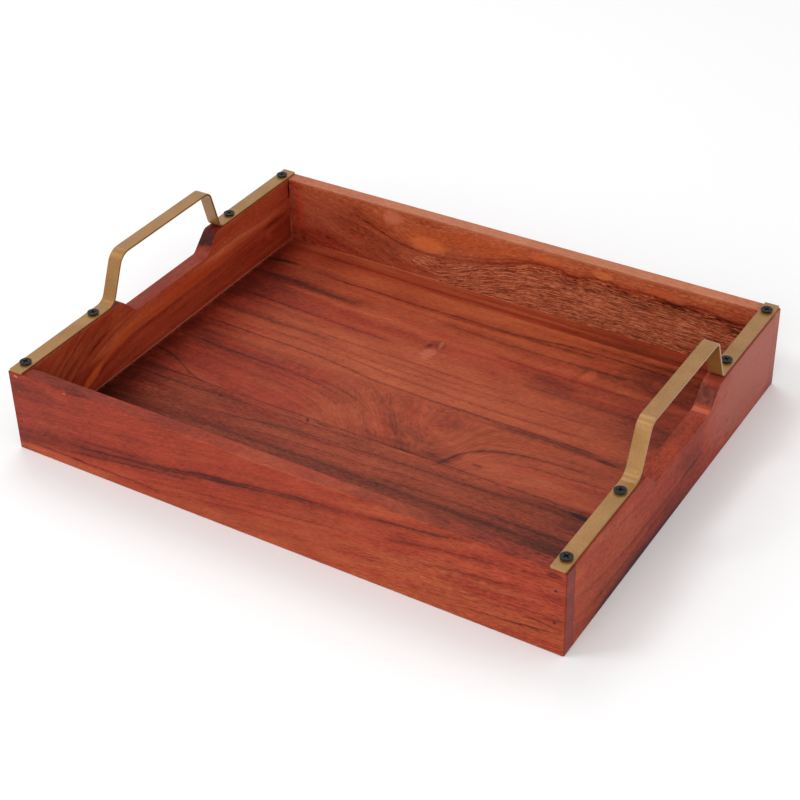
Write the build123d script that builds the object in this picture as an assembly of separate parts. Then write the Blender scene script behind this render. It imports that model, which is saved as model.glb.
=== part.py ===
from build123d import *
import os

# Serving tray.  Four wooden walls, butt jointed, stand round a floor of edge-glued boards.  A bent flat
# strap is screwed along the top edge of each short wall, and rises into a handle over a hand scoop.
# Millimetres.  X runs along the tray, Y from front to back, Z up.  The origin is the middle of the
# underside.

# Driving dimensions
tray_length = 406.0
tray_width = 317.5
wall_height = 61.5
long_wall_thickness = 10.4
short_wall_thickness = 12.0
floor_thickness = 9.7
floor_board_widths = (101.2, 52.5, 126.0, 17.0)  # front to back, filling the space between the walls

outer_edge_radius = 1.0
inner_edge_radius = 0.5
bottom_edge_radius = 0.6

scoop_depth = 13.9
scoop_floor_half = 41.0  # half the length of the level stretch
scoop_top_half = 55.5  # half the length of the mouth
scoop_heel_radius = 4.0
scoop_shoulder_radius = 6.0

strap_width = 10.3
strap_thickness = 1.6
strap_side_inset = 1.1  # from the tray's outer face
strap_end_inset = 0.4
strap_edge_radius = 0.4
strap_corner_radius = 1.0

# The straps are bent by hand, so the two handles differ a little.  The corners are y of the near foot, near
# and far end of the grip, and far foot; they and the bend radii are on the strap's middle line.
handle_corners = {"left": (-62.7, -48.5, 51.6, 61.0), "right": (-62.5, -48.8, 49.0, 62.3)}
handle_bend_radii = {"left": (9.0, 11.0, 7.0, 6.0), "right": (9.0, 8.0, 5.0, 5.0)}
handle_rises = {"left": 34.8, "right": 34.5}  # from the wall's top to the grip's upper face

screw_end_distance = 11.0  # outer screws, from the tray's end
screw_inner_distance = 80.0
screw_head_radius = 4.0
screw_rim_height = 0.5
screw_rim_round = 0.2
screw_stand_off = 1.7  # head's top above the strap
screw_shank_radius = 1.6
screw_length = 16.0
screw_tip_length = 4.0
screw_strap_clearance = 0.4
recess_length = 4.4
recess_width = 0.9
recess_depth = 1.4
recess_turns = {"left": (8.0, 55.0, 70.0, 30.0), "right": (62.0, 20.0, 41.0, 75.0)}  # front to back, degrees

brad_end_distance = 6.6
brad_depths = (14.5, 38.0)  # below the wall's top
brad_radius = 0.6
brad_head_radius = 1.1
brad_head_height = 0.8
brad_set = 0.4  # head's face below the wood's face
brad_length = 32.0

# Worked out from the dimensions above
half_length = tray_length / 2
half_width = tray_width / 2
inner_half_length = half_length - short_wall_thickness
inner_half_width = half_width - long_wall_thickness
strap_centre_x = half_length - strap_side_inset - strap_width / 2


def block(low, high):
    """A box between two opposite corners, given in either order."""
    size = [abs(b - a) for a, b in zip(low, high)]
    middle = [(a + b) / 2 for a, b in zip(low, high)]
    return Pos(*middle) * Box(*size)


def edges_at(solid, **places):
    """The solid's edges whose middles lie at the given coordinates, such as X=203 or Z=61."""
    def lies_there(edge):
        middle = edge.center()
        return all(abs(getattr(middle, name) - place) < 0.01 for name, place in places.items())

    return solid.edges().filter_by(lies_there)


def side_extrusion(outline, width):
    """An outline drawn as (y, z), made into a solid of the given width, centred on X=0."""
    return extrude(Plane.YZ * make_face(outline), amount=width / 2, both=True)


def long_wall(side):
    """The front (side -1) or back (side 1) wall. It runs the tray's full length, so its end grain shows."""
    outer = side * half_width
    inner = side * inner_half_width
    wall = block((-half_length, inner, 0), (half_length, outer, wall_height))
    wall = fillet(edges_at(wall, X=-half_length, Y=outer), outer_edge_radius)
    wall = fillet(edges_at(wall, X=half_length, Y=outer), outer_edge_radius)
    wall = fillet(wall.faces().sort_by(Axis.Z)[-1].edges() - edges_at(wall, Y=inner), outer_edge_radius)
    wall = fillet(edges_at(wall, Y=inner, Z=wall_height), inner_edge_radius)
    return fillet(wall.faces().sort_by(Axis.Z)[0].edges() - edges_at(wall, Y=inner), bottom_edge_radius)


def scoop_cutter(side):
    """What the hand scoop takes from a short wall: a level floor, two ramps, rounded heels and shoulders."""
    floor_z = wall_height - scoop_depth
    roof_z = wall_height + scoop_depth
    lead = scoop_top_half + scoop_shoulder_radius
    lower = FilletPolyline(
        (-lead, wall_height),
        (-scoop_top_half, wall_height),
        (-scoop_floor_half, floor_z),
        (scoop_floor_half, floor_z),
        (scoop_top_half, wall_height),
        (lead, wall_height),
        radius=(scoop_shoulder_radius, scoop_heel_radius, scoop_heel_radius, scoop_shoulder_radius),
    )
    upper = Polyline((lead, wall_height), (lead, roof_z), (-lead, roof_z), (-lead, wall_height))
    middle = side * (half_length - short_wall_thickness / 2)
    return Pos(middle, 0, 0) * side_extrusion(lower.edges() + upper.edges(), 2 * short_wall_thickness)


def short_wall(side):
    """The left (side -1) or right (side 1) wall, held between the long walls, with its hand scoop."""
    outer = side * half_length
    inner = side * inner_half_length
    wall = block((inner, -inner_half_width, 0), (outer, inner_half_width, wall_height))
    wall = wall - scoop_cutter(side)
    above_scoop = wall_height - scoop_depth - 1
    for place, radius in ((outer, outer_edge_radius), (inner, inner_edge_radius)):
        rim = edges_at(wall, X=place).filter_by(lambda edge: edge.center().Z > above_scoop)
        joints = edges_at(wall, Y=-inner_half_width) + edges_at(wall, Y=inner_half_width)
        wall = fillet(rim - joints, radius)
    return fillet(edges_at(wall, X=outer, Z=0), bottom_edge_radius)


def floor_board(front, width):
    """One floor board, from its front edge at y = front."""
    return block((-inner_half_length, front, 0), (inner_half_length, front + width, floor_thickness))


def strap_outline(name):
    """A strap's side view: level feet, leaning legs and a level grip, with round bends."""
    near_foot, near_grip, far_grip, far_foot = handle_corners[name]
    end = half_width - strap_end_inset
    low = wall_height + strap_thickness / 2
    high = wall_height + handle_rises[name] - strap_thickness / 2
    middle_line = FilletPolyline(
        (-end, low), (near_foot, low), (near_grip, high), (far_grip, high), (far_foot, low), (end, low),
        radius=handle_bend_radii[name],
    )
    return trace(middle_line, strap_thickness)


def strap(name, side):
    """A bent flat strap, with eased edges, rounded corners and four countersunk screw holes."""
    bar = extrude(Plane.YZ * strap_outline(name), amount=strap_width / 2, both=True)
    bar = fillet(bar.edges().filter_by(Axis.Z), strap_corner_radius)
    end = half_width - strap_end_inset
    bends = bar.edges().filter_by(Axis.X).filter_by(lambda edge: abs(edge.center().Y) < end - 0.01)
    bar = fillet(bar.edges() - bends - bar.edges().filter_by(Axis.Z), strap_edge_radius)
    bar = Pos(side * strap_centre_x, 0, 0) * bar
    clearance = screw_hole()
    for x, y in screw_places(side):
        bar = bar - Pos(x, y, wall_height + strap_thickness) * clearance
    return bar


def screw_places(side):
    """Where a strap's screws stand, front to back."""
    outer_y = half_width - screw_end_distance
    inner_y = half_width - screw_inner_distance
    return [(side * strap_centre_x, y) for y in (-outer_y, -inner_y, inner_y, outer_y)]


def turned(*outline):
    """A solid turned about Z from half its outline, given as (radius, height) points."""
    return revolve(make_face(Polyline(*[(r, 0, z) for r, z in outline], close=True)), Axis.Z)


def screw_blank():
    """A countersunk screw without its recess, with its origin at the strap's upper face."""
    rim_base = screw_stand_off - screw_rim_height
    cone_end = rim_base - (screw_head_radius - screw_shank_radius)
    tip = screw_stand_off - screw_length
    blank = turned(
        (0, screw_stand_off),
        (screw_head_radius, screw_stand_off),
        (screw_head_radius, rim_base),
        (screw_shank_radius, cone_end),
        (screw_shank_radius, tip + screw_tip_length),
        (0, tip),
    )
    rim = edges_at(blank, Z=screw_stand_off).sort_by(SortBy.LENGTH)[-1]
    return fillet(rim, screw_rim_round)


def screw_hole():
    """The hole a screw takes in the strap: a seat for its cone, then clearance round its shank."""
    rim_base = screw_stand_off - screw_rim_height
    hole_radius = screw_shank_radius + screw_strap_clearance
    cone_end = rim_base - (screw_head_radius - hole_radius)
    return turned(
        (0, rim_base),
        (screw_head_radius, rim_base),
        (hole_radius, cone_end),
        (hole_radius, -2 * strap_thickness),
        (0, -2 * strap_thickness),
    )


def cross_recess(turn):
    """The cross cut into a screw's head, turned by an angle in degrees."""
    bar = Pos(0, 0, screw_stand_off) * Box(recess_length, recess_width, 2 * recess_depth)
    return Rot(0, 0, turn) * (bar + Rot(0, 0, 90) * bar)


def brad(end, side, depth):
    """A brad driven in from a long wall's face, its head set just below the surface."""
    solid = turned(
        (0, 0),
        (brad_head_radius, 0),
        (brad_head_radius, -brad_head_height),
        (brad_radius, -brad_head_height),
        (brad_radius, -brad_length),
        (0, -brad_length),
    )
    return brad_place(end, side, depth) * Pos(0, 0, -brad_set) * solid


def brad_hole(end, side, depth):
    """What a brad takes from the wood: its own shape, and the small pit over its head."""
    pit = Cylinder(brad_head_radius, 2 * brad_set)
    return brad(end, side, depth) + brad_place(end, side, depth) * pit


def brad_place(end, side, depth):
    """Where a brad goes in, with local Z pointing out of the long wall's face."""
    x = end * (half_length - brad_end_distance)
    return Pos(x, side * half_width, wall_height - depth) * Rot(-90 * side, 0, 0)


# The wood, before its holes
wood = {
    "front_wall": long_wall(-1),
    "back_wall": long_wall(1),
    "left_wall": short_wall(-1),
    "right_wall": short_wall(1),
}
board_front = -inner_half_width
for number, width in enumerate(floor_board_widths, start=1):
    wood[f"floor_board_{number}"] = floor_board(board_front, width)
    board_front += width

# The metal
sides = {"left": -1, "right": 1}
metal = {}
holes = []
for name, side in sides.items():
    metal[f"{name}_handle"] = strap(name, side)
    for number, ((x, y), turn) in enumerate(zip(screw_places(side), recess_turns[name]), start=1):
        place = Pos(x, y, wall_height + strap_thickness)
        metal[f"{name}_handle_screw_{number}"] = place * (screw_blank() - cross_recess(turn))
        holes.append(place * screw_blank())

for long_name, side in (("front", -1), ("back", 1)):
    for short_name, end in sides.items():
        for number, depth in enumerate(brad_depths, start=1):
            metal[f"{long_name}_{short_name}_brad_{number}"] = brad(end, side, depth)
            holes.append(brad_hole(end, side, depth))

for name in ("front_wall", "back_wall", "left_wall", "right_wall"):
    for hole in holes:
        wood[name] = wood[name] - hole

os.makedirs("parts", exist_ok=True)
for name, solid in {**wood, **metal}.items():
    export_step(solid, f"parts/{name}.step")
    box = solid.bounding_box()
    print(f"{name:22s} {solid.volume:10.1f} mm3  {box.min.X:8.2f} {box.min.Y:8.2f} {box.min.Z:7.2f}"
          f"  {box.max.X:8.2f} {box.max.Y:8.2f} {box.max.Z:7.2f}")
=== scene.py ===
from math import cos, radians, sin
from types import SimpleNamespace

import bpy
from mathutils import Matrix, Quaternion, Vector


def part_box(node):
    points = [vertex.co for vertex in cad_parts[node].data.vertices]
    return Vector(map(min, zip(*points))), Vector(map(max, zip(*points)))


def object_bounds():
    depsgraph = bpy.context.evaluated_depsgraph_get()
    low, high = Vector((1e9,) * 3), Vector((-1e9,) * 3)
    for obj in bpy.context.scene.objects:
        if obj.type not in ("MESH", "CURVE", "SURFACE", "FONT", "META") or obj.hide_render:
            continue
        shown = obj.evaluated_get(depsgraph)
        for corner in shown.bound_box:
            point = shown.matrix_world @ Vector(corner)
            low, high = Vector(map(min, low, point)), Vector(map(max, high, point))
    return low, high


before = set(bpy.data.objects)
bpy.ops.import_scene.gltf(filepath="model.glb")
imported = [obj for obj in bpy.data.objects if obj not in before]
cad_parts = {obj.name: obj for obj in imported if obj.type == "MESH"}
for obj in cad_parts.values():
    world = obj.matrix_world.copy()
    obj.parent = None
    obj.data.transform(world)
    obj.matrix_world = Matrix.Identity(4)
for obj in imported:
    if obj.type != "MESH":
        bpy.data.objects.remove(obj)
cad_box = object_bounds()

# A wooden serving tray with two brass-coated strap handles.  Every piece keeps its CAD shape, and gets its
# finish here.  Places inside a board are in millimetres: along its grain, across its face and into the wood.
MILLIMETRES = 1000

# The camera
camera_azimuth = 32.049  # degrees, from straight in front towards the right
camera_elevation = 35.068
camera_roll = -1.367
camera_lens = 80.472
camera_distance = 1.196845
camera_target = (0.004653, -0.011222, 0.020395)

# The studio
floor_half = 6.0
floor_colour = (0.89, 0.89, 0.89, 1)
dome_strength = 0.75
dome_colour = (1.0, 1.0, 1.0, 1)
panels = {
    "overhead": {"place": (-0.8, -0.8, 1.65), "size": 0.5, "power": 8},
    "back_left": {"place": (-0.8, 0.8, 1.9), "size": 1.0, "power": 8},
    "front_fill": {"place": (0.3, -2.2, 1.0), "size": 1.5, "power": 19},
    "right_fill": {"place": (1.9, 0.6, 0.9), "size": 1.4, "power": 4},
}

# Faces that the boards' patterns are measured from
inner_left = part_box("left_wall")[1].x
inner_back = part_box("back_wall")[0].y
inner_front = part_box("front_wall")[1].y
wall_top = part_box("front_wall")[1].z
floor_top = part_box("floor_board_1")[1].z
outer_left, outer_front = cad_box[0][0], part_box("front_wall")[0].y
outer_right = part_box("right_wall")[1].x

# How far the figure of two walls lies from those faces, in metres
back_figure_drop = 0.0024
left_figure_drop = 0.0018
left_figure_shift = 0.00395


def srgb(red, green, blue):
    """A colour given as it looks on a screen, from 0 to 255, as a shader's colour."""
    return tuple((value / 255) ** 2.2 for value in (red, green, blue)) + (1,)


class Nodes:
    """Adds shader nodes to a new material.  An input may be a number, a colour or another node's output."""

    def __init__(self, name):
        self.material = bpy.data.materials.new(name)
        self.material.use_nodes = True
        self.tree = self.material.node_tree
        self.shader = self.tree.nodes["Principled BSDF"]

    def feed(self, socket, value):
        if isinstance(value, bpy.types.NodeSocket):
            self.tree.links.new(value, socket)
        else:
            socket.default_value = value

    def add(self, kind, *values, **settings):
        node = self.tree.nodes.new(kind)
        for name, setting in settings.items():
            setattr(node, name, setting)
        for socket, value in zip(node.inputs, values):
            self.feed(socket, value)
        return node

    def math(self, operation, *values):
        return self.add("ShaderNodeMath", *values, operation=operation).outputs[0]

    def total(self, *values):
        result = values[0]
        for value in values[1:]:
            result = self.math("ADD", result, value)
        return result

    def times(self, value, by):
        return self.math("MULTIPLY", value, by)

    def rest(self, share):
        """What a share leaves of 1."""
        return self.total(1, self.times(share, -1))

    def part(self, noise, size):
        """A noise's swing about its middle, to both sides, times size."""
        return self.times(self.total(noise, -0.5), size)

    def point(self, x, y, z):
        return self.add("ShaderNodeCombineXYZ", x, y, z).outputs[0]

    def fade(self, value, low, high):
        """0 below low and 1 above high, changing smoothly between.  The other way round if low > high."""
        node = self.add("ShaderNodeMapRange", interpolation_type="SMOOTHSTEP")
        self.feed(node.inputs["Value"], value)
        self.feed(node.inputs["From Min"], low)
        self.feed(node.inputs["From Max"], high)
        return node.outputs["Result"]

    def noise(self, place, detail=2.0, roughness=0.5):
        node = self.add("ShaderNodeTexNoise")
        self.feed(node.inputs["Vector"], place)
        node.inputs["Scale"].default_value = 1
        node.inputs["Detail"].default_value = detail
        node.inputs["Roughness"].default_value = roughness
        return node.outputs["Fac"]

    def speckle(self, fineness, detail=2):
        """Even noise, with about this many grains to a metre."""
        local = self.add("ShaderNodeTexCoord").outputs["Object"]
        place = self.add("ShaderNodeVectorMath", local, (fineness,) * 3, operation="MULTIPLY").outputs[0]
        return self.noise(place, detail)

    def cells(self, place):
        """Distance to the nearest of many scattered points, one to each unit of space."""
        node = self.add("ShaderNodeTexVoronoi")
        self.feed(node.inputs["Vector"], place)
        node.inputs["Scale"].default_value = 1
        node.inputs["Randomness"].default_value = 1
        return node.outputs["Distance"]

    def mix(self, share, first, second, blend="MIX"):
        node = self.add("ShaderNodeMix", data_type="RGBA", blend_type=blend)
        self.feed(node.inputs["Factor"], share)
        self.feed(node.inputs["A"], first)
        self.feed(node.inputs["B"], second)
        colour = [socket for socket in node.outputs if socket.type == "RGBA"][0]
        return colour

    def ramp(self, value, stops):
        """A colour for each value, from stops given as (value, colour)."""
        node = self.add("ShaderNodeValToRGB", value)
        elements = node.color_ramp.elements
        while len(elements) < len(stops):
            elements.new(0.5)
        for element, (position, colour) in zip(elements, stops):
            element.position = position
            element.color = colour
        return node.outputs["Color"]

    def curve(self, value, points):
        """A smooth curve through given (value, result) points, level beyond its ends."""
        first, last = points[0][0], points[-1][0]
        results = [result for _, result in points]
        low, span = min(results), max(max(results) - min(results), 1e-6)
        node = self.add("ShaderNodeFloatCurve", 1.0)
        share = self.times(self.math("SUBTRACT", value, first), 1 / (last - first))
        self.feed(node.inputs["Value"], share)
        drawn = node.mapping.curves[0].points
        while len(drawn) < len(points):
            drawn.new(0.5, 0.5)
        for spot, (at, result) in zip(drawn, points):
            spot.location = ((at - first) / (last - first), (result - low) / span)
        node.mapping.update()
        return self.total(self.times(node.outputs["Value"], span), low)


def place_camera():
    """Looks down at the tray from beyond its front right corner."""
    turn, rise = radians(camera_azimuth), radians(camera_elevation)
    back = Vector((sin(turn) * cos(rise), -cos(turn) * cos(rise), sin(rise)))
    camera = bpy.data.objects.new("camera", bpy.data.cameras.new("camera"))
    camera.data.lens = camera_lens
    camera.location = Vector(camera_target) + camera_distance * back
    camera.rotation_mode = "QUATERNION"
    camera.rotation_quaternion = back.to_track_quat("Z", "Y") @ Quaternion((0, 0, 1), radians(camera_roll))
    bpy.context.scene.collection.objects.link(camera)
    bpy.context.scene.camera = camera


def studio_light():
    """A pale dome and soft square panels, each turned to the tray."""
    world = bpy.data.worlds.new("studio")
    world.use_nodes = True
    background = world.node_tree.nodes["Background"]
    background.inputs["Color"].default_value = dome_colour
    background.inputs["Strength"].default_value = dome_strength
    bpy.context.scene.world = world
    bpy.context.scene.view_settings.view_transform = "Standard"
    for name, panel in panels.items():
        light = bpy.data.lights.new(name, "AREA")
        light.shape = "SQUARE"
        light.size = panel["size"]
        light.energy = panel["power"]
        lamp = bpy.data.objects.new(name, light)
        lamp.location = panel["place"]
        lamp.rotation_mode = "QUATERNION"
        lamp.rotation_quaternion = (Vector(panel["place"]) - Vector(camera_target)).to_track_quat("Z", "Y")
        bpy.context.scene.collection.objects.link(lamp)


def studio_floor():
    """The plain pale floor under the tray."""
    mesh = bpy.data.meshes.new("studio_floor")
    corners = [(x, y, 0) for x, y in ((-1, -1), (1, -1), (1, 1), (-1, 1))]
    mesh.from_pydata([Vector(corner) * floor_half for corner in corners], [], [(0, 1, 2, 3)])
    floor = bpy.data.objects.new("studio_floor", mesh)
    bpy.context.scene.collection.objects.link(floor)
    nodes = Nodes("studio_floor")
    nodes.shader.inputs["Base Color"].default_value = floor_colour
    nodes.shader.inputs["Roughness"].default_value = 0.9
    mesh.materials.append(nodes.material)


def measured(nodes, origin, along, across, into):
    """A point's distances from origin, in millimetres, along three signed axes such as "x" or "-z"."""
    local = nodes.add("ShaderNodeTexCoord").outputs["Object"]
    parts = nodes.add("ShaderNodeSeparateXYZ", local).outputs
    distances = []
    for axis in (along, across, into):
        index = "xyz".index(axis[-1])
        sign = -1 if axis.startswith("-") else 1
        distance = nodes.math("SUBTRACT", parts[index], origin[index])
        distances.append(nodes.times(distance, sign * MILLIMETRES))
    return distances


def scattered(nodes, place, sizes, seed, detail=2, roughness=0.5):
    """Noise whose grains have the given sizes, in millimetres, along, across and into a board."""
    scaled = [nodes.times(value, 1 / size) for value, size in zip(place, sizes)]
    return nodes.noise(nodes.point(scaled[0], nodes.total(scaled[1], seed), scaled[2]), detail, roughness)


def line_mark(nodes, along, across, path, half_width):
    """How much a point lies on a line drawn along the grain, which fades out at both its ends."""
    gap = nodes.math("SUBTRACT", across, nodes.curve(along, path))
    start, end = path[0][0], path[-1][0]
    taper = min(30, (end - start) / 3)
    gap = nodes.math("ABSOLUTE", gap)
    core, halo = nodes.fade(gap, half_width, 0), nodes.fade(gap, 3 * half_width, 0)
    mark = nodes.total(nodes.times(core, 0.65), nodes.times(halo, 0.35))
    mark = nodes.times(mark, nodes.fade(along, start, start + taper))
    return nodes.times(mark, nodes.fade(along, end, end - taper))


def spot_mark(nodes, along, across, rough, centre, radii, turn):
    """How much a point lies in a soft-edged spot of uneven outline."""
    x = nodes.math("SUBTRACT", along, centre[0])
    y = nodes.math("SUBTRACT", across, centre[1])
    c, s = cos(radians(turn)), sin(radians(turn))
    long_way = nodes.times(nodes.total(nodes.times(x, c), nodes.times(y, s)), 1 / radii[0])
    short_way = nodes.times(nodes.total(nodes.times(y, c), nodes.times(x, -s)), 1 / radii[1])
    squares = nodes.total(nodes.times(long_way, long_way), nodes.times(short_way, short_way))
    distance = nodes.total(nodes.math("SQRT", squares), nodes.times(rough, 0.9), -0.45)
    return nodes.fade(distance, 1.15, 0.55)


def wood_grain(nodes, here, board):
    """The noises that a board's tone, colour and surface share, and how deep in the board a point is."""
    along, across, into = here
    seed = board["seed"]
    grain = SimpleNamespace()
    wander = scattered(nodes, here, wander_size, seed)
    grain.ripple = scattered(nodes, here, ripple_size, seed + 3, 3)
    drift = nodes.total(nodes.part(wander, board["wander"]), nodes.part(grain.ripple, board["ripple"]))
    grain.wavy = nodes.total(across, drift)
    level = nodes.math("SUBTRACT", grain.wavy, nodes.curve(along, board["flow"]))
    for dip, reach in board.get("dips", ()):
        sag = nodes.times(nodes.curve(along, dip), nodes.curve(across, reach))
        level = nodes.math("SUBTRACT", level, sag)
    grain.place = (along, level, into)
    grain.streaks = scattered(nodes, grain.place, streak_size, seed, 4, 0.62)
    grain.flecks = scattered(nodes, grain.place, fleck_size, seed, 3, 0.6)
    pore_place = [nodes.times(value, 1 / size) for value, size in zip(grain.place, pore_spacing)]
    grain.pores = nodes.fade(nodes.cells(nodes.point(*pore_place)), pore_edge, pore_core)
    grain.deep = nodes.fade(into, 0.05, 0.45)
    grain.on_face = nodes.fade(into, 1.5, 1.0)
    start, end = board["flow"][0][0], board["flow"][-1][0]
    first_cut = nodes.fade(along, start + cut_edge, start + cut_core)
    last_cut = nodes.fade(along, end - cut_edge, end - cut_core)
    grain.cut = nodes.math("MAXIMUM", first_cut, last_cut)
    return grain


def wood_tone(nodes, here, grain, board):
    """How dark or pale the wood is, about 0 to 1: figure, bands, lines and shades, among them painted shadow,
    a painted reflection, a painted glint and a painted edge highlight.
    """
    along, across, into = here
    seed, ripple = board["seed"], grain.ripple
    rings = scattered(nodes, grain.place, (ring_length, board["ring_size"], ring_depth), seed)
    blotches = scattered(nodes, here, blotch_size, seed + 9, 3)
    slanted = nodes.total(along, nodes.times(across, chatter_slant))
    chatter = scattered(nodes, (slanted, across, into), chatter_size, seed + 5)
    tone = nodes.total(
        0.5,
        nodes.part(rings, board["rings"]),
        nodes.part(grain.streaks, board["streaks"]),
        nodes.part(grain.flecks, board["flecks"]),
        nodes.part(blotches, board["blotches"]),
        nodes.part(chatter, board.get("chatter", 0.05)),
        nodes.curve(across, board["bands"]),
        nodes.curve(along, board["lengthwise"]),
    )
    broken = nodes.total(0.6, nodes.times(nodes.fade(grain.streaks, 0.4, 0.6), 0.4))
    frayed = nodes.total(grain.wavy, nodes.part(grain.flecks, 1.4))
    for path, half_width, depth in board["lines"]:
        mark = nodes.times(line_mark(nodes, along, frayed, path, half_width), broken)
        tone = nodes.total(tone, nodes.times(mark, -depth))
    for centre, radii, turn, depth in board.get("shades", ()):
        mark = spot_mark(nodes, along, across, ripple, centre, radii, turn)
        tone = nodes.total(tone, nodes.times(mark, -depth))
    for centre, radii, turn, depth in board.get("deep_shades", ()):
        mark = nodes.times(grain.deep, spot_mark(nodes, along, across, ripple, centre, radii, turn))
        tone = nodes.total(tone, nodes.times(mark, -depth))
    for middle, half_width, depth in board.get("crosswise", ()):
        mark = nodes.fade(nodes.math("ABSOLUTE", nodes.total(along, -middle)), half_width, 0)
        mark = nodes.times(nodes.times(mark, grain.on_face), nodes.fade(ripple, 0.4, 0.6))
        tone = nodes.total(tone, nodes.times(mark, -depth))
    for path, blend, extra in board.get("rough_below", ()):
        fibres = scattered(nodes, grain.place, board.get("fibre_size", fibre_size), seed + 31, 3, 0.65)
        rise = nodes.part(nodes.total(nodes.times(fibres, 0.75), nodes.times(grain.flecks, 0.25)), extra)
        below = nodes.math("SUBTRACT", grain.wavy, nodes.curve(along, path))
        rough = nodes.times(rise, nodes.fade(below, 0, blend))
        tone = nodes.total(tone, nodes.times(rough, nodes.rest(grain.cut)))
    # Paler along the rounded top edges: a painted highlight.
    painted_edge_highlight = nodes.times(nodes.fade(across, 1.0, 0.3), nodes.fade(into, 1.0, 0.3))
    painted_edge_highlight = nodes.times(painted_edge_highlight, nodes.fade(ripple, 0.4, 0.6))
    return nodes.total(tone, nodes.times(painted_edge_highlight, board.get("edge_highlight", 0)))


def wood_colour(nodes, here, grain, tone, board):
    """The tone in a colour between red and orange, with stains and the tints of faces, ends and pores; a few
    of the stains are painted sheen and painted shadow.
    """
    along, across, _ = here
    hue = scattered(nodes, grain.place, hue_size, board["seed"] + 17, 3)
    warm_along = nodes.curve(along, board["warm_along"])
    warm_across = nodes.curve(across, board["warm_across"])
    warmth = nodes.fade(nodes.total(hue, warm_along, warm_across), 0.34, 0.66)
    colour = nodes.mix(warmth, nodes.ramp(tone, red_palette), nodes.ramp(tone, orange_palette))
    for kind, reach in (("stains", 1), ("face_stains", grain.on_face)):
        for centre, radii, turn, share, tint in board.get(kind, ()):
            mark = nodes.times(spot_mark(nodes, along, across, grain.ripple, centre, radii, turn), reach)
            uneven = nodes.times(mark, nodes.total(0.4 * share, nodes.times(grain.flecks, 1.2 * share)))
            colour = nodes.mix(uneven, colour, tint)
    deep_share, deep_tint = board.get("deep_tint", (0, white))
    colour = nodes.mix(nodes.times(grain.deep, deep_share), colour, deep_tint, "MULTIPLY")
    stain_share, stain_tint = board.get("deep_stain", (0, white))
    colour = nodes.mix(nodes.times(grain.deep, stain_share), colour, stain_tint)
    colour = nodes.mix(nodes.rest(grain.deep), colour, board.get("face_tint", white), "MULTIPLY")
    end_share, end_tint = board.get("end_tint", (0, white))
    colour = nodes.mix(nodes.times(grain.cut, end_share), colour, end_tint, "MULTIPLY")
    return nodes.mix(nodes.times(grain.pores, board["pores"]), colour, pore_brown)


def wood(name, origin, axes, board):
    """A stained and lacquered board: grain that follows its flow, with its own bands, lines and spots."""
    nodes = Nodes(name)
    here = measured(nodes, origin, *axes)
    grain = wood_grain(nodes, here, board)
    tone = wood_tone(nodes, here, grain, board)
    nodes.feed(nodes.shader.inputs["Base Color"], wood_colour(nodes, here, grain, tone, board))
    roughness = nodes.total(lacquer_roughness, nodes.times(grain.pores, 0.2), nodes.times(grain.flecks, 0.14))
    nodes.feed(nodes.shader.inputs["Roughness"], roughness)
    nodes.shader.inputs["Specular IOR Level"].default_value = board.get("gloss", lacquer_gloss)
    bump = nodes.add("ShaderNodeBump")
    bump.inputs["Strength"].default_value = 0.5
    bump.inputs["Distance"].default_value = lacquer_relief
    pits = nodes.times(nodes.times(grain.pores, board["pores"]), -1)
    nodes.feed(bump.inputs["Height"], nodes.total(pits, nodes.times(grain.flecks, 0.5)))
    nodes.feed(nodes.shader.inputs["Normal"], bump.outputs["Normal"])
    return nodes.material


def brass():
    """The straps' satin brass paint: part metal, part pigment, under a thin clear coat."""
    nodes = Nodes("satin_brass")
    speckle = nodes.speckle(2500)
    mottle = nodes.total(nodes.times(nodes.speckle(60, 3), 0.5), nodes.times(nodes.speckle(1100), 0.5))
    colour = nodes.mix(nodes.fade(mottle, 0.3, 0.7), srgb(140, 98, 48), srgb(161, 118, 65))
    nodes.feed(nodes.shader.inputs["Base Color"], colour)
    nodes.shader.inputs["Metallic"].default_value = 0.5
    nodes.feed(nodes.shader.inputs["Roughness"], nodes.total(0.38, nodes.times(speckle, 0.12)))
    nodes.shader.inputs["Specular IOR Level"].default_value = 0.25
    nodes.shader.inputs["Coat Weight"].default_value = 0.6
    nodes.shader.inputs["Coat Roughness"].default_value = 0.24
    bump = nodes.add("ShaderNodeBump")
    bump.inputs["Strength"].default_value = 0.3
    bump.inputs["Distance"].default_value = 0.00006
    nodes.feed(bump.inputs["Height"], speckle)
    nodes.feed(nodes.shader.inputs["Normal"], bump.outputs["Normal"])
    return nodes.material


def black_screw():
    """Blackened screws."""
    nodes = Nodes("black_screw")
    speckle = nodes.speckle(1500)
    nodes.feed(nodes.shader.inputs["Base Color"], nodes.mix(speckle, srgb(8, 8, 9), srgb(19, 19, 21)))
    nodes.feed(nodes.shader.inputs["Roughness"], nodes.total(0.3, nodes.times(speckle, 0.15)))
    nodes.shader.inputs["Specular IOR Level"].default_value = 0.3
    return nodes.material


def brad_steel(name, dark, pale):
    """Brad heads, stained by the finish."""
    nodes = Nodes(name)
    speckle = nodes.speckle(1500)
    nodes.feed(nodes.shader.inputs["Base Color"], nodes.mix(speckle, dark, pale))
    nodes.shader.inputs["Roughness"].default_value = 0.5
    return nodes.material


def finish(node, material):
    """Gives a CAD node its finish."""
    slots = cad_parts[node].data.materials
    slots.clear()
    slots.append(material)


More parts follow.
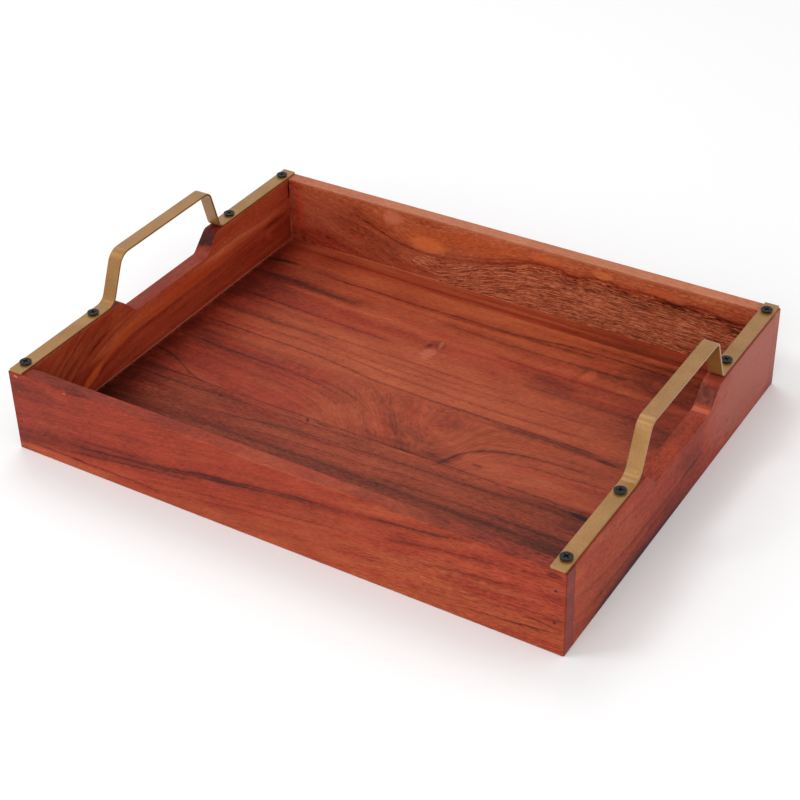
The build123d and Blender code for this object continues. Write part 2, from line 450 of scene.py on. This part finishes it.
# Sizes of the wood's grain, in millimetres along, across and into a board
wander_size = (80, 20, 20)
ripple_size = (11, 4, 5)
streak_size = (34, 1.6, 2.5)
fleck_size = (4.5, 0.75, 0.8)
blotch_size = (36, 12, 20)
chatter_size = (4, 16, 20)
chatter_slant = 0.7
hue_size = (70, 8, 15)
fibre_size = (13, 0.9, 2)
ring_length, ring_depth = 220, 30
pore_spacing = (5.5, 0.85, 0.85)
pore_edge, pore_core = 0.27, 0.12
cut_edge, cut_core = 0.8, 0.2

lacquer_roughness = 0.34
lacquer_gloss = 0.13
lacquer_relief = 0.00012
pore_brown = srgb(48, 20, 14)
white = srgb(255, 255, 255)

red_palette = (
    (0.00, srgb(38, 16, 13)),
    (0.25, srgb(92, 32, 23)),
    (0.50, srgb(144, 54, 36)),
    (0.75, srgb(170, 76, 54)),
    (1.00, srgb(194, 104, 78)),
)
orange_palette = (
    (0.00, srgb(44, 22, 15)),
    (0.25, srgb(98, 41, 27)),
    (0.50, srgb(148, 66, 42)),
    (0.75, srgb(176, 90, 58)),
    (1.00, srgb(206, 130, 92)),
)

# Each board: flow, bands, lengthwise and the warm curves run through (place, value) points.  A line is drawn
# along the grain through (along, across) points, with its half width and depth of tone; a negative depth is a
# pale line.  Shades and stains are spots: centre, radii, turn in degrees, and their strength; face
# stains don't go through to a board's other side.  Some of these entries are painted light, marked where they
# stand.  A board is coarse below the lines in rough_below.
floor_end_line = ((1.2, 0.9, -0.3),)
rough_boundary = (
    (120, 28.3), (140, 27), (160, 24), (180, 20), (200, 14.5), (218, 10.5), (232, 10), (242, 12.5),
    (256, 9.5),
    (270, 8.5), (282, 11), (296, 9.5), (310, 10), (320, 12), (336, 9.5), (348, 9.5), (358, 12), (385, 11),
)
rough_start = ((94, 80), (106, 48), (113, 31))
dark_start = ((48, 9), (66, 14.5), (80, 19.5), (92, 23.5), (106, 27))
# On every floor board the lengthwise curve falls at along 0 and the warm_along curve turns redder there:
# painted shadow of the left wall over the floor's left end.
floor_boards = {
    "floor_board_4": {
        "crosswise": floor_end_line,
        "seed": 4.1, "wander": 3, "ripple": 1.5, "ring_size": 6, "pores": 0.3,
        "rings": 0.3, "streaks": 0.45, "flecks": 0.3, "blotches": 0.2,
        "flow": ((0, 0), (190, 0.5), (380, 0)),
        "bands": ((0, 0.1), (3, 0.06), (8, 0.04), (12, -0.04), (15, -0.02), (17, 0.06)),
        "lengthwise": ((0, -0.2), (50, 0.0), (120, 0.08), (220, 0.04), (280, -0.08), (380, -0.1)),
        "warm_along": ((0, -0.3), (60, 0.0), (380, 0.0)),
        "warm_across": ((0, 0.05), (17, -0.05)),
        "lines": (
            (((20, 10), (80, 11), (160, 12.5), (230, 12)), 2.0, 0.16),
            (((100, 5.5), (200, 6), (330, 8)), 1.0, 0.14),
        ),
    },
    "floor_board_3": {
        "crosswise": floor_end_line,
        "seed": 3.3, "wander": 5, "ripple": 2.5, "ring_size": 8, "pores": 0.3,
        "rings": 0.22, "streaks": 0.24, "flecks": 0.55, "blotches": 0.3, "chatter": 0.12,
        "flow": ((0, -2), (60, 1), (180, 2), (290, 1), (380, 0)),
        "bands": (
            (17, 0.1), (28, 0.06), (36, -0.02), (46, 0.02), (54, -0.03), (63, 0.05), (74, -0.02),
            (86, 0.0), (96, 0.02), (112, 0.05), (124, 0.07), (132, 0.06), (139, -0.03), (143, -0.04),
        ),
        "lengthwise": (
            (0, -0.34), (12, -0.25), (40, -0.12), (90, -0.02), (200, 0.03), (270, -0.01), (380, -0.12),
        ),
        "warm_along": ((0, -0.3), (30, -0.1), (70, 0.05), (380, 0.05)),
        "warm_across": ((17, 0.1), (60, 0.0), (75, -0.1), (100, 0.08), (143, 0.1)),
        "lines": (
            (((-4, 36), (10, 33), (20, 31.5), (32, 31.5)), 1.2, 0.4),
            (
                ((44, 32.5), (60, 35), (100, 36.5), (200, 36.5), (240, 33.5), (280, 31), (350, 31.5)),
                0.8, 0.38,
            ),
            (((110, 39), (170, 39.5), (230, 37), (300, 35)), 0.9, 0.2),
            (((0, 52), (30, 53), (60, 56), (110, 58)), 4.0, 0.3),
            (((20, 59.5), (60, 62.5), (100, 64), (150, 63.5)), 1.2, -0.16),
            (((0, 83), (50, 84), (110, 86), (160, 87)), 1.6, 0.26),
            (
                ((0, 127), (60, 127.5), (110, 129), (140, 132), (170, 136), (230, 137), (290, 136),
                 (345, 141)),
                0.9, 0.36,
            ),
            (((250, 139), (300, 139), (350, 144)), 1.6, 0.2),
            (((140, 107), (220, 111), (330, 108)), 1.0, 0.24),
            (((80, 101), (180, 104), (260, 101)), 0.9, 0.2),
            (((50, 117), (110, 119), (180, 124), (240, 126), (330, 123)), 1.0, 0.24),
            (((90, 112), (160, 116), (250, 117)), 0.8, 0.14),
            (((150, 46), (230, 50), (340, 45)), 2.2, 0.2),
            (((200, 64), (260, 68), (360, 62)), 2.2, 0.22),
            (((250, 22), (300, 24), (370, 22)), 2.0, 0.2),
            (((240, 88), (300, 90), (370, 86)), 1.5, 0.16),
            (((0, 108), (60, 107), (120, 110)), 2.4, 0.16),
        ),
        "shades": (
            ((175, 76), (8, 8), 0, 0.14),
            ((171, 80), (3, 4), 0, 0.1),
            ((280, 60), (2.6, 10), 12, 0.08),
            ((268, 82), (22, 12), 0, 0.08),
            ((345, 40), (40, 26), 0, 0.14),
            ((350, 100), (30, 16), 0, 0.12),
            ((25, 66), (30, 10), 4, 0.08),
            ((341, 142), (9, 2.5), 8, 0.2),
        ),
        "stains": (
            ((175, 88), (5.5, 9), 0, 0.42, srgb(184, 104, 84)),
            ((178, 75), (1.6, 7), -12, 0.3, srgb(186, 112, 90)),
            ((286, 58), (5, 8), 10, 0.36, srgb(182, 84, 58)),
        ),
    },
    "floor_board_2": {
        "crosswise": floor_end_line,
        "seed": 2.7, "wander": 4, "ripple": 2.5, "ring_size": 6, "pores": 0.3,
        "rings": 0.26, "streaks": 0.3, "flecks": 0.55, "blotches": 0.3, "chatter": 0.12,
        "flow": ((0, 0), (60, 2), (300, 5), (380, 6)),
        "dips": (
            (
                ((60, 0), (100, 3), (130, 9), (150, 17), (170, 30), (190, 46), (210, 57), (228, 60),
                 (242, 54), (252, 40), (264, 22), (280, 10), (300, 4), (335, 0)),
                ((143, 0.35), (170, 0.75), (195.5, 1.0)),
            ),
        ),
        "bands": ((143, 0.0), (160, 0.02), (180, 0.04), (195.5, -0.06)),
        "lengthwise": (
            (0, -0.34), (15, -0.24), (45, -0.12), (110, -0.03), (200, -0.03), (300, 0.0), (380, -0.16),
        ),
        "warm_along": (
            (0, -0.35), (30, -0.15), (110, -0.1), (170, 0.1), (220, 0.05), (270, 0.15), (380, 0.0),
        ),
        "warm_across": ((143, 0.04), (195.5, -0.02)),
        "lines": (
            (
                ((-30, 173), (4, 175), (16, 177.5), (26, 181.5), (38, 188), (50, 193), (64, 196), (84, 198)),
                0.8, 0.28,
            ),
            (((0, 150), (60, 154), (110, 155.5), (140, 160), (160, 168)), 1.3, 0.24),
            (((50, 158), (100, 160), (135, 166), (155, 175), (163, 185)), 1.1, 0.18),
            (((80, 170), (120, 173), (145, 181), (155, 190)), 1.0, 0.14),
            (((110, 153), (150, 157), (175, 168), (190, 182)), 1.0, 0.16),
            (
                ((216, 250), (240, 215), (246, 196), (250, 186), (254, 179), (264, 170.5), (280, 164),
                 (300, 160.5), (350, 158)),
                1.9, 0.34,
            ),
            (((262, 190), (270, 180), (290, 172), (320, 168), (370, 167)), 1.0, 0.16),
            (((240, 180), (250, 170), (270, 160), (300, 154), (350, 152)), 1.2, 0.14),
            (((0, 195), (120, 195), (250, 195.2), (380, 195)), 0.6, 0.3),
        ),
        "shades": (
            ((269, 185), (4, 1.6), 0, 0.2),
            ((253, 184), (3.5, 8), 24, 0.12),
            ((232, 180), (30, 11), 24, 0.1),
            ((222, 191), (34, 5), 0, 0.12),
            ((204, 176), (26, 5), 48, 0.1),
            ((300, 182), (30, 8), 0, -0.06),
        ),
    },
    "floor_board_1": {
        "crosswise": floor_end_line,
        "seed": 1.9, "wander": 4, "ripple": 2, "ring_size": 7, "pores": 0.45,
        "rings": 0.26, "streaks": 0.36, "flecks": 0.7, "blotches": 0.26, "chatter": 0.08,
        "flow": ((0, 14), (100, 10), (200, 3), (300, 0), (380, -1)),
        # Darker towards the front wall, from across 235 to 292: painted shadow of the front wall.
        "bands": ((195.5, -0.04), (205, -0.06), (220, -0.04), (235, -0.14), (250, -0.16), (292, -0.18)),
        "lengthwise": (
            (0, -0.32), (20, -0.22), (60, -0.07), (200, 0.0), (300, -0.03), (345, -0.13), (380, -0.18),
        ),
        "warm_along": ((0, -0.3), (60, 0.0), (200, 0.12), (380, 0.05)),
        "warm_across": ((195.5, 0.0), (292, 0.05)),
        "lines": (
            (((70, 222), (110, 216), (150, 211), (220, 208), (320, 204)), 1.2, 0.26),
            (((100, 217), (150, 213.5), (210, 211)), 0.8, 0.2),
            (((310, 198), (345, 198.5), (376, 199.5)), 1.2, 0.2),
            (((300, 203), (340, 203), (370, 202)), 1.0, 0.2),
            (((60, 238), (140, 233), (240, 233), (330, 235)), 2.6, 0.16),
            (((100, 228), (180, 221), (280, 216)), 1.1, 0.2),
            (((0, 204), (60, 203), (130, 201), (200, 199)), 0.9, 0.16),
            (((200, 228), (280, 226), (370, 226)), 1.2, 0.2),
        ),
        "shades": (
            ((146, 197.5), (2.6, 1.4), 60, 0.26),
            ((158, 197), (8, 1.2), 0, 0.16),
            ((78, 203), (2.4, 1.0), 0, 0.16),
            ((351, 199.5), (10, 2.4), 6, 0.3),
        ),
    },
}
walls = {
    "front_wall": {
        "seed": 6.2, "wander": 4, "ripple": 2.5, "ring_size": 7, "pores": 0.35,
        # edge_highlight: a painted highlight along the front wall's rounded top edges.
        "rings": 0.22, "streaks": 0.34, "flecks": 0.5, "blotches": 0.3, "chatter": 0.1, "edge_highlight": 0.1,
        "flow": ((0, 48), (60, 41), (110, 35), (150, 28), (200, 22), (250, 15), (320, 5), (406, -3)),
        "bands": ((0, -0.06), (2, 0.0), (30, 0.0), (50, 0.04), (61, 0.06)),
        "lengthwise": ((0, -0.15), (30, -0.06), (200, 0.0), (300, 0.02), (406, -0.03)),
        "warm_along": ((0, -0.2), (100, -0.14), (200, -0.04), (300, 0.0), (406, -0.06)),
        "warm_across": ((0, -0.06), (30, 0.0), (61, 0.16)),
        "lines": (
            (((-20, 53), (60, 44), (110, 36.5), (150, 28.5), (200, 22), (290, 10)), 5.0, 0.16),
            (((-20, 48), (60, 39.5), (110, 32.5), (150, 27), (190, 22)), 2.6, 0.1),
            (((30, 50), (60, 46.5), (105, 39.5), (160, 31)), 0.8, 0.28),
            (((40, 38), (80, 34), (120, 30)), 1.4, 0.18),
            (((50, 43), (110, 35.5), (150, 29), (200, 22)), 0.7, 0.2),
            (((125, 28), (165, 24.5), (200, 20), (270, 12)), 0.9, 0.2),
            (((140, 31), (180, 25), (240, 17)), 0.6, 0.24),
            (((20, 46), (70, 40), (130, 30.5), (175, 21)), 0.6, 0.2),
            (((262, 12.5), (290, 9.5), (310, 7), (335, 3), (352, -1)), 1.3, 0.36),
            (((90, 52), (130, 46), (165, 41), (200, 36), (240, 31), (280, 27)), 1.2, 0.18),
            (((270, 28), (300, 21), (330, 15), (370, 10)), 1.4, 0.22),
            (((150, 49), (200, 41), (250, 35)), 0.9, 0.18),
            (((332, 54), (360, 51), (385, 48.5), (410, 43)), 1.0, 0.42),
            (((376, 40), (395, 42), (410, 41)), 0.8, 0.3),
            (((300, 33), (340, 27), (390, 20)), 1.3, 0.2),
            (((0, 53.5), (60, 53.5), (130, 54)), 0.6, 0.34),
        ),
        "shades": (
            ((51, 53.5), (6, 0.7), 0, 0.2),
            ((40, 58), (46, 4), 0, -0.14),
            ((398, 4), (6, 2.4), 0, 0.2),
            ((0, 0), (90, 1.6), 0, 0.04),
            ((200, 0), (70, 1.6), 0, -0.08),
            ((370, 0), (90, 1.6), 0, 0.05),
            ((20, 10), (20, 9), 10, 0.1),
        ),
        "stains": (
            ((6.5, 2.4), (1.8, 0.9), 20, 0.8, srgb(206, 116, 84)),
            ((47, 2.2), (1.2, 0.6), 0, 0.7, srgb(206, 120, 92)),
        ),
        "rough_below": ((((200, 80), (250, 40), (300, 0), (406, -30)), 40, 0.9),),
        "face_tint": srgb(255, 249, 246),
        "deep_tint": (0.3, srgb(226, 236, 240)),
        "end_tint": (1.0, srgb(222, 190, 200)),
    },
    "back_wall": {
        "seed": 5.5, "wander": 4, "ripple": 3, "ring_size": 5, "pores": 0.35,
        "rings": 0.3, "streaks": 0.5, "flecks": 1.0, "blotches": 0.4, "chatter": 0.12,
        "fibre_size": (18, 0.75, 2),
        "flow": (
            (0, 0), (40, 10), (75, 17), (110, 27), (125, 28), (140, 26), (190, 15), (235, 10), (380, 10),
        ),
        "bands": ((0, 0.17), (8, 0.14), (14, 0.11), (30, 0.07), (49, 0.01)),
        "lengthwise": ((0, -0.1), (30, 0.0), (70, -0.02), (110, 0.05), (160, 0.06), (380, 0.02)),
        "warm_along": ((0, -0.25), (60, 0.0), (150, 0.2), (380, 0.2)),
        "warm_across": ((0, 0.14), (20, 0.1), (49, -0.04)),
        "lines": (
            (dark_start + rough_boundary, 1.8, 0.36),
            (((205, 18), (240, 15), (330, 14), (400, 15)), 4.0, 0.18),
            (((140, 24), (165, 20), (200, 12), (230, 8)), 0.8, 0.3),
            (((300, 12), (340, 13), (385, 12)), 1.4, 0.24),
        ),
        "shades": (
            ((62, 24), (34, 5), 14, 0.14),
            ((84, 36), (20, 9), 0, 0.1),
            ((62, 9), (8, 4), 20, 0.1),
            ((25, 42), (24, 9), 0, 0.08),
            ((128, 39), (4, 3), 0, 0.2),
        ),
        "stains": (
            ((124, 21), (17, 6.5), 0, 0.6, srgb(222, 120, 68)),
            ((120, 17), (22, 10), 0, 0.3, srgb(198, 100, 50)),
            ((170, 8), (50, 9), -6, 0.3, srgb(190, 88, 44)),
            ((97, 15), (1.2, 10), 0, 0.3, srgb(184, 96, 58)),
            ((222, 5), (16, 3.5), 0, 0.5, srgb(206, 100, 54)),
            ((266, 5), (9, 3.5), 0, 0.55, srgb(216, 122, 70)),
            ((312, 6), (18, 3), 0, 0.4, srgb(198, 98, 54)),
            ((190, -2.2), (260, 1.9), 0, 0.55, srgb(172, 114, 86)),
            ((115, 45), (24, 5), 0, 0.4, srgb(150, 50, 30)),
            ((240, 36), (190, 20), 0, 0.3, srgb(160, 92, 70)),
            ((300, 18), (110, 4.5), 0, 0.3, srgb(104, 62, 44)),
            ((30, 20), (34, 18), 0, 0.3, srgb(150, 76, 58)),
        ),
        "face_stains": (
            ((92.5, 5.5), (8.5, 6.5), 0, 0.8, srgb(196, 112, 84)),
            ((120, 49.3), (110, 0.6), 0, 0.6, srgb(206, 124, 92)),
            ((9, 22), (2.6, 17), 0, 0.6, srgb(186, 54, 28)),
        ),
        "rough_below": ((rough_start + rough_boundary, 4, 4.8),),
        "crosswise": ((0.5, 0.5, -0.35),),
        "end_tint": (0.8, srgb(240, 225, 250)),
    },
    "left_wall": {
        "seed": 8.4, "wander": 3, "ripple": 2, "ring_size": 6, "pores": 0.25,
        "rings": 0.5, "streaks": 0.4, "flecks": 0.5, "blotches": 0.3, "chatter": 0.12,
        "flow": ((0, 40), (20, 28), (40, 17), (60, 9), (80, 4), (110, 1), (150, 0), (292, -1)),
        "bands": ((0, 0.06), (5, 0.06), (15, 0.11), (26, 0.13), (30, -0.02), (49, -0.03)),
        "lengthwise": ((0, -0.06), (40, 0.06), (200, 0.09), (292, 0.02)),
        "warm_along": ((0, -0.02), (80, -0.04), (200, -0.1), (292, -0.14)),
        "warm_across": ((0, -0.05), (14, 0.0), (26, 0.0), (32, -0.12), (49, -0.2)),
        "lines": (
            (((-6, 50), (10, 38), (22, 26), (35, 18), (50, 10), (70, 3), (96, -3)), 4.0, 0.3),
            (((6, 54), (20, 40), (32, 29), (46, 20), (64, 13), (92, 6)), 2.4, 0.3),
            (((28, 34), (45, 22), (70, 13), (110, 9)), 1.0, 0.34),
            (((4, 34), (14, 24), (30, 12), (44, 4), (60, -2)), 1.4, 0.3),
            (((34, 34), (52, 25), (75, 17), (105, 13)), 0.9, 0.28),
            (((40, 43), (55, 35), (72, 29), (90, 25)), 1.6, -0.3),
            (((32, 42), (50, 34), (65, 28), (85, 22), (110, 18), (160, 16), (292, 17)), 4.0, -0.12),
            (
                ((44, 46), (60, 38), (80, 31), (100, 28.5), (150, 28), (220, 27), (260, 24), (292, 23)),
                1.8, 0.22,
            ),
            (((120, 36), (200, 35), (292, 33)), 1.2, 0.12),
        ),
        "shades": (
            ((272, 25), (16, 3), 0, 0.16),
            ((291.8, 6), (1.0, 9), 0, 0.5),
            ((262, 33), (5, 3), 30, -0.14),
        ),
        "stains": (
            ((50, 38), (14, 4), -24, 0.6, srgb(220, 100, 48)),
            ((80, 27), (26, 5), -16, 0.4, srgb(196, 80, 38)),
            ((150, 22), (75, 5.5), 0, 0.4, srgb(190, 72, 34)),
            ((82, 9), (11, 8), -20, 0.3, srgb(170, 88, 50)),
        ),
        "face_stains": (
            ((160, 49.8), (190, 0.8), 0, 0.8, srgb(184, 118, 98)),
            ((292.2, 38), (0.7, 11), 0, 0.5, srgb(190, 130, 112)),
        ),
        "face_tint": srgb(255, 245, 226),
        "deep_shades": (((199.4, 6), (11, 10), 0, 0.4), ((89.4, 6), (11, 10), 0, 0.34)),
        "deep_tint": (1.0, srgb(197, 174, 190)),
    },
    "right_wall": {
        "seed": 7.6, "wander": 4, "ripple": 2.5, "ring_size": 8, "pores": 0.3,
        "rings": 0.24, "streaks": 0.44, "flecks": 1.0, "blotches": 0.3, "chatter": 0.2,
        "flow": ((0, -6), (60, 3), (120, 7), (200, 5), (318, 0)),
        "gloss": 0.06, "face_tint": srgb(255, 230, 207),
        "bands": ((0, 0.02), (25, 0.04), (42, 0.0), (52, -0.05), (61, -0.12)),
        "lengthwise": ((0, 0.07), (80, -0.01), (150, -0.03), (200, 0.05), (318, 0.11)),
        "shades": (((120, 58), (85, 12), 0, 0.1), ((176, 24), (26, 24), 0, 0.1)),
        "warm_along": ((0, 0.0), (60, 0.1), (120, -0.1), (318, -0.2)),
        "warm_across": ((0, -0.05), (40, 0.0), (61, 0.1)),
        "lines": (
            (((10, 26), (60, 37), (120, 41), (200, 40)), 1.2, 0.22),
            (((20, 60), (90, 58.5), (170, 60)), 1.8, 0.3),
            (((155, 38), (175, 39.5), (205, 38)), 1.4, 0.3),
            (((218, 38), (250, 41), (290, 44)), 1.1, 0.26),
            (((20, 46), (80, 49), (150, 47), (240, 50)), 1.4, 0.2),
        ),
        "stains": (
            ((295, 52), (8, 3.5), 0, 0.6, srgb(190, 106, 74)),
            # The broad pinkish spot over the back half of the outer face is a painted sheen: painted
            # reflection of the pale studio.
            ((285, 26), (90, 44), 0, 0.74, srgb(160, 100, 96)),
            # The dark line along the top edge beside the strap is painted shadow of the strap.
            ((159, 0), (200, 0.9), 0, 0.5, srgb(100, 36, 20)),
        ),
        "deep_shades": (
            # Darker far ramp of the scoop: the cut wood takes more stain, and a painted reflection of the
            # handle's leg darkens it further.
            ((207, 6), (9, 8), 0, 0.55),
            ((111, 6), (11, 10), 0, 0.3),
            ((159, 13.9), (44, 3), 0, 0.06),
            # The pale mark at the far heel of the scoop is a painted glint.
            ((199, 13.7), (2.6, 1.3), 0, -0.5),
        ),
        "deep_tint": (1.0, srgb(255, 240, 225)),
        "deep_stain": (0.3, srgb(152, 78, 60)),
    },
}

place_camera()
studio_light()
studio_floor()

for name, board in floor_boards.items():
    finish(name, wood(name, (inner_left, inner_back, floor_top), ("x", "-y", "-z"), board))
wall_places = {
    "front_wall": ((outer_left, outer_front, wall_top), ("x", "-z", "y")),
    "back_wall": ((inner_left, inner_back, wall_top - back_figure_drop), ("x", "-z", "y")),
    "left_wall": (
        (inner_left, inner_front + left_figure_shift, wall_top - left_figure_drop), ("y", "-z", "-x"),
    ),
    "right_wall": ((outer_right, outer_front, wall_top), ("y", "-z", "-x")),
}
for name, (origin, axes) in wall_places.items():
    finish(name, wood(name, origin, axes, walls[name]))

strap_finish, screw_finish = brass(), black_screw()
brad_finish = brad_steel("brad_stained", srgb(140, 58, 42), srgb(172, 80, 60))
bare_brad_finish = brad_steel("brad_bare", srgb(44, 22, 18), srgb(80, 38, 28))
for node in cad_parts:
    if "screw" in node:
        finish(node, screw_finish)
    elif "handle" in node:
        finish(node, strap_finish)
    elif "brad" in node:
        finish(node, bare_brad_finish if "front_right" in node else brad_finish)
